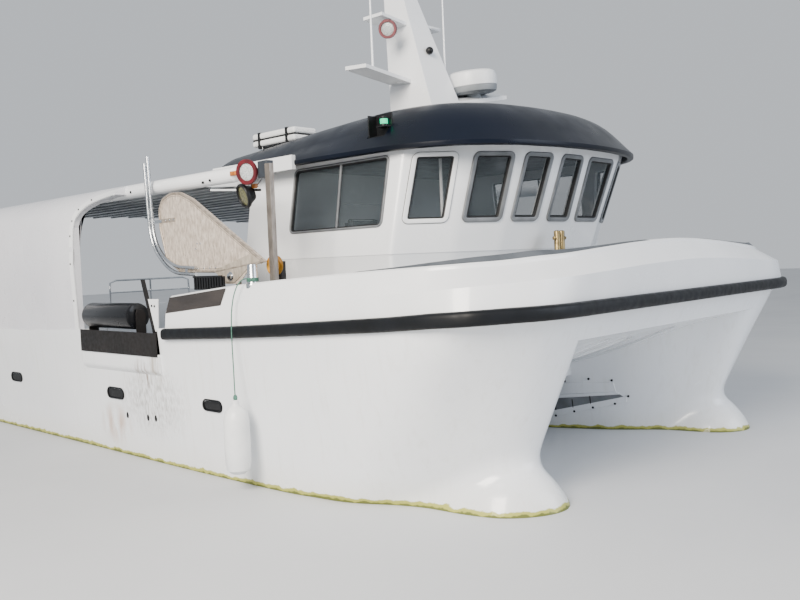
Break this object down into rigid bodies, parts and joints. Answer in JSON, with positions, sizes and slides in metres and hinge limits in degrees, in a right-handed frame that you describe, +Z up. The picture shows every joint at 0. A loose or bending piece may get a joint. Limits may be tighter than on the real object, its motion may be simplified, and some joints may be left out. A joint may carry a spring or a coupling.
{
  "type": "catamaran fishing boat",
  "caption": "Twin-hulled fishing boat with bulbous bows, forward wheelhouse, mast, sheltered working deck, hauling roller and landing arm.",
  "frame": {"origin": "on the centreline at the waterline, midships", "axes": "+X to the bow, +Y to port, +Z up"},
  "size_m": [11.95, 5.61, 6.45],
  "materials": {
    "alloy": "weathered aluminium plate",
    "black": "black paint",
    "bronze": "bronze casting",
    "charcoal": "charcoal sheet",
    "glass": "tinted glass",
    "green": "black screen with green lens",
    "grey": "grey non-slip moulding",
    "navy": "navy gelcoat",
    "red": "red painted lamp body",
    "rubber": "black rubber",
    "seat": "black vinyl",
    "steel": "stainless steel",
    "white": "white gelcoat",
    "yellow": "yellow paint"
  },
  "bodies": {
    "hull": {"hull_starboard": "white", "hull_port": "white", "keel_port": "white", "keel_starboard": "white", "bridge_deck": "white", "belt_fender": "rubber", "bulwark_starboard": "white", "bulwark_bow": "white", "bulwark_port": "white", "shelter_side_starboard": "white", "shelter_side_port": "white", "canopy_roof": "white", "wheelhouse_side_starboard": "white", "wheelhouse_side_port": "white", "wheelhouse_front": "white", "windscreen_glass": "glass", "side_pane_starboard": "glass", "side_pane_port": "glass", "wheelhouse_aft_wall": "white", "wheelhouse_roof": "navy", "helm_console": "grey", "helm_seat_base": "charcoal", "helm_seat_cushion": "seat", "helm_seat_back": "seat", "mast": "white", "radar_dome": "white", "mast_flood_light": "red", "liferaft_canister": "white", "sidelight_starboard": "green", "sidelight_port": "red", "light_pole": "steel", "deck_light_forward": "red", "deck_light_aft": "black", "arm_bracket": "steel", "roller_cradle": "steel", "gap_plate": "charcoal", "hauler_stand": "charcoal", "bollard_starboard": "steel", "bollard_port": "steel", "bow_bitts": "steel", "stern_rail_starboard": "steel", "stern_rail_port": "steel", "foredeck_hatch_coaming": "white"},
    "propeller_starboard": {"propeller_starboard": "bronze"},
    "propeller_port": {"propeller_port": "bronze"},
    "rudder_starboard": {"rudder_starboard": "bronze"},
    "rudder_port": {"rudder_port": "bronze"},
    "hauling_roller": {"hauling_roller": "rubber"},
    "hauler_sheave": {"hauler_sheave": "yellow"},
    "landing_arm": {"landing_arm": "alloy"},
    "aft_door": {"aft_door": "white"},
    "stern_gate": {"stern_gate": "white"},
    "foredeck_hatch": {"foredeck_hatch": "grey"},
    "engine_hatch_starboard": {"engine_hatch_starboard": "grey"},
    "engine_hatch_port": {"engine_hatch_port": "grey"}
  },
  "joints": [
    {"name": "propeller_turn_starboard", "type": "hinge", "parent": "hull", "child": "propeller_starboard", "pos_m": [-4.96, -1.67, -0.72], "axis": [1, 0, 0], "continuous": true},
    {"name": "propeller_turn_port", "type": "hinge", "parent": "hull", "child": "propeller_port", "pos_m": [-4.96, 1.67, -0.72], "axis": [1, 0, 0], "continuous": true},
    {"name": "rudder_steer_starboard", "type": "hinge", "parent": "hull", "child": "rudder_starboard", "pos_m": [-5.52, -1.67, -0.7], "axis": [0, 0, 1], "range_deg": [-35, 35]},
    {"name": "rudder_steer_port", "type": "hinge", "parent": "hull", "child": "rudder_port", "pos_m": [-5.52, 1.67, -0.7], "axis": [0, 0, 1], "range_deg": [-35, 35]},
    {"name": "hauling_roller_turn", "type": "hinge", "parent": "hull", "child": "hauling_roller", "pos_m": [0.965, -2.668, 1.445], "axis": [1, 0, 0], "continuous": true},
    {"name": "hauler_sheave_turn", "type": "hinge", "parent": "hull", "child": "hauler_sheave", "pos_m": [3.228, -2.385, 1.896], "axis": [0, 1, 0], "continuous": true},
    {"name": "landing_arm_lower", "type": "hinge", "parent": "hull", "child": "landing_arm", "pos_m": [2.735, -2.48, 1.812], "axis": [0, -1, 0], "range_deg": [0, 60]},
    {"name": "aft_door_open", "type": "hinge", "parent": "hull", "child": "aft_door", "pos_m": [1.908, -0.352, 1.66], "axis": [0, 0, 1], "range_deg": [0, 110]},
    {"name": "stern_gate_open", "type": "hinge", "parent": "hull", "child": "stern_gate", "pos_m": [-5.962, 0.752, 0.9], "axis": [0, 0, -1], "range_deg": [0, 100]},
    {"name": "foredeck_hatch_open", "type": "hinge", "parent": "hull", "child": "foredeck_hatch", "pos_m": [5.48, 0, 1.645], "axis": [0, 1, 0], "range_deg": [0, 95]},
    {"name": "engine_hatch_open_starboard", "type": "hinge", "parent": "hull", "child": "engine_hatch_starboard", "pos_m": [-3.905, -1.67, 0.602], "axis": [0, 1, 0], "range_deg": [0, 95]},
    {"name": "engine_hatch_open_port", "type": "hinge", "parent": "hull", "child": "engine_hatch_port", "pos_m": [-3.905, 1.67, 0.602], "axis": [0, 1, 0], "range_deg": [0, 95]}
  ],
  "couplings": [
    {"joint": "rudder_steer_port", "follows": "rudder_steer_starboard", "ratio": 1}
  ]
}
